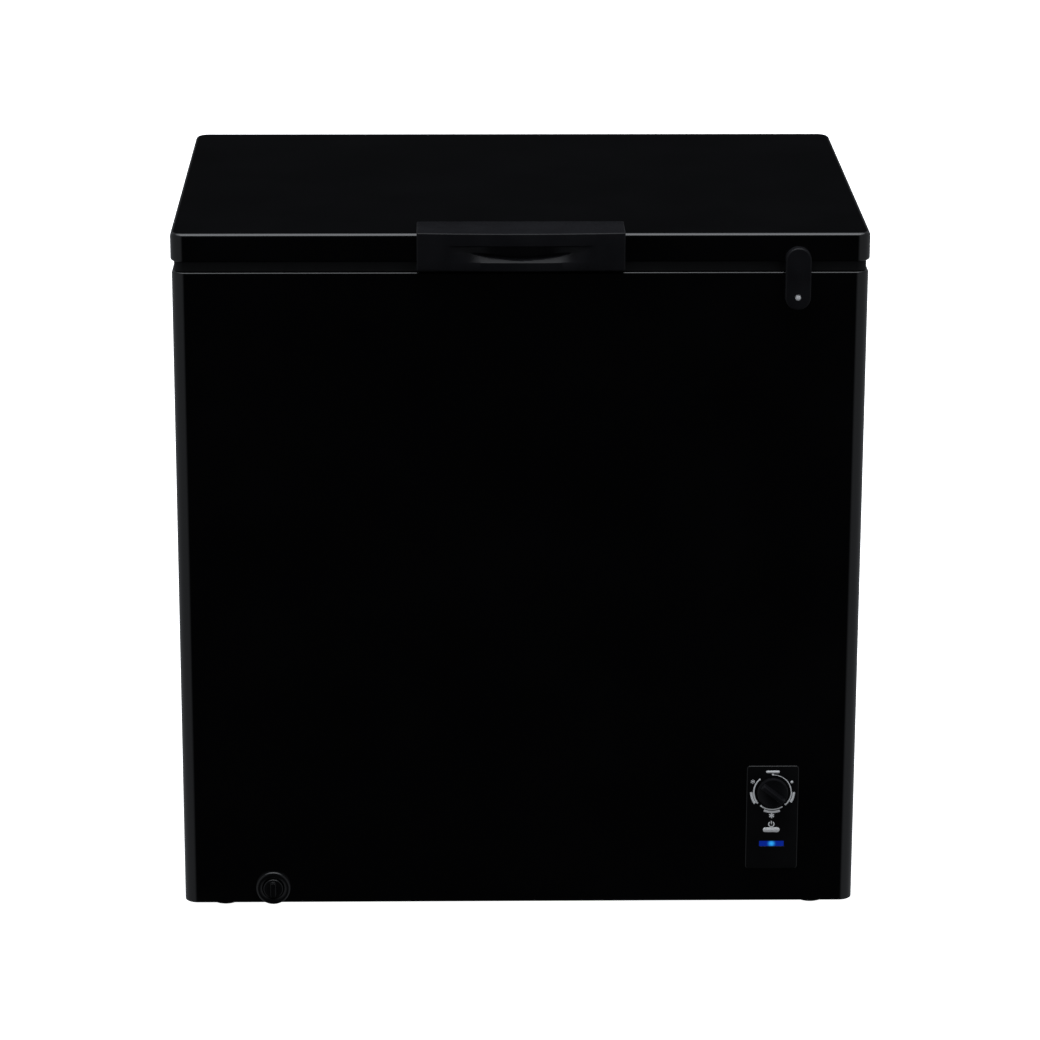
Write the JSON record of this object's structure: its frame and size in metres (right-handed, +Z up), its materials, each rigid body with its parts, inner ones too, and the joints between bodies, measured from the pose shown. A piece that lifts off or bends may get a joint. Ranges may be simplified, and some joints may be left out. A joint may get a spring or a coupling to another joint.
{
  "type": "chest freezer",
  "caption": "Black chest freezer with a rear-hinged insulated lid, front handle and lock, thermostat panel, front drain, storage basket, compressor room and sprung hinges.",
  "frame": {"origin": "on the floor under the middle of the whole object", "axes": "+X to the right of someone facing the front, -Y out of the front with the handle, +Z up"},
  "size_m": [0.815, 0.5986, 0.854],
  "materials": {
    "black_paint": "gloss black powder coat over steel",
    "galvanised": "galvanised steel",
    "zinc_steel": "zinc plated steel",
    "foam": "rigid polyurethane foam",
    "white_liner": "white embossed aluminium",
    "collar_plastic": "pale grey moulded plastic",
    "aluminium_tube": "drawn tube",
    "steel_tube": "coated steel tube",
    "copper": "drawn copper tube",
    "black_plastic": "satin black moulded plastic",
    "gloss_black": "gloss black moulded plastic",
    "grey_plastic": "grey moulded plastic",
    "rubber": "moulded rubber",
    "gasket": "soft vinyl with a magnetic strip",
    "white_plastic": "white formed sheet",
    "blue_lens": "clear blue window",
    "lamp": "small blue light on its board",
    "compressor_black": "black baked enamel",
    "iron": "cast",
    "chrome": "polished",
    "white_wire": "white coated steel wire",
    "spring_steel": "oiled spring steel",
    "wires": "bundled insulated wires"
  },
  "bodies": {
    "cabinet": {"outer_shell": "black_paint", "back_panel": "galvanised", "base_pan": "galvanised", "feet": "rubber", "foot_screws": "zinc_steel", "machine_room_liner": "galvanised", "cabinet_foam": "foam", "inner_liner": "white_liner", "top_collar": "collar_plastic", "evaporator_coil": "aluminium_tube", "condenser_coil": "steel_tube", "back_panel_screws": "zinc_steel", "drain_pipe": "grey_plastic", "floor_drain_bush": "white_plastic", "drain_bezel": "black_plastic", "control_panel": "gloss_black", "control_panel_screws": "zinc_steel", "indicator_window": "blue_lens", "indicator_lamp": "lamp", "thermostat": "grey_plastic", "compressor_lower_shell": "compressor_black", "compressor_upper_shell": "compressor_black", "compressor_mounts": "rubber", "compressor_bolts": "zinc_steel", "compressor_stator": "iron", "compressor_frame": "iron", "compressor_rotor": "iron", "compressor_terminal_cover": "black_plastic", "refrigerant_tubes": "copper", "filter_drier": "copper", "capillary_tube": "copper", "side_vent_grille": "black_plastic", "rear_cover": "galvanised", "cord_grommet": "rubber", "wiring_harness": "wires", "lock_keeper": "black_plastic", "keeper_screws": "zinc_steel", "hinge_brackets": "black_paint", "hinge_pins": "zinc_steel", "hinge_screws": "zinc_steel"},
    "lid": {"lid_skin": "black_paint", "lid_liner": "white_plastic", "lid_foam": "foam", "lid_gasket": "gasket", "lid_handle": "black_plastic", "lid_front_screws": "zinc_steel", "lock_housing": "black_plastic", "hinge_leaves": "black_paint", "leaf_screws": "zinc_steel"},
    "lock": {"lock_cylinder": "chrome", "lock_cam": "zinc_steel"},
    "hinge_rod": {"hinge_rods": "zinc_steel", "hinge_springs": "spring_steel"},
    "knob": {"thermostat_knob": "black_plastic"},
    "drain_spout": {"drain_spout": "grey_plastic", "drain_o_ring": "rubber"},
    "drain_dial": {"drain_dial": "black_plastic"},
    "plug": {"floor_drain_plug": "white_plastic"},
    "basket": {"basket_rim": "white_wire", "basket_wires": "white_wire"}
  },
  "joints": [
    {"name": "lid_hinge", "type": "hinge", "parent": "cabinet", "child": "lid", "pos_m": [0, 0.29225, 0.81], "axis": [-1, 0, 0], "range_deg": [0, 80], "stiffness_Nm_per_rad": 6.5, "springref_deg": 106},
    {"name": "hinge_rod_slide", "type": "slide", "parent": "cabinet", "child": "hinge_rod", "axis": [0, 0, 1], "range_m": [0, 0.01553], "deforming": ["hinge_springs"]},
    {"name": "lock_turn", "type": "hinge", "parent": "lid", "child": "lock", "pos_m": [0.3225, -0.28125, 0.776], "axis": [0, -1, 0], "range_deg": [0, 90]},
    {"name": "knob_turn", "type": "hinge", "parent": "cabinet", "child": "knob", "pos_m": [0.3065, -0.27825, 0.1565], "axis": [0, 1, 0], "range_deg": [-300, 0]},
    {"name": "drain_pull", "type": "slide", "parent": "cabinet", "child": "drain_spout", "axis": [0, -1, 0], "range_m": [0, 0.022]},
    {"name": "drain_turn", "type": "hinge", "parent": "drain_spout", "child": "drain_dial", "pos_m": [-0.2985, -0.27825, 0.035], "axis": [0, 1, 0], "range_deg": [0, 180]},
    {"name": "plug_lift", "type": "slide", "parent": "cabinet", "child": "plug", "axis": [0, 0, 1], "range_m": [0, 0.04]},
    {"name": "basket_slide", "type": "slide", "parent": "cabinet", "child": "basket", "axis": [1, 0, 0], "range_m": [0, 0.437]}
  ],
  "couplings": [
    {"joint": "hinge_rod_slide", "follows": "lid_hinge", "m_per_rad": 0.011049}
  ]
}
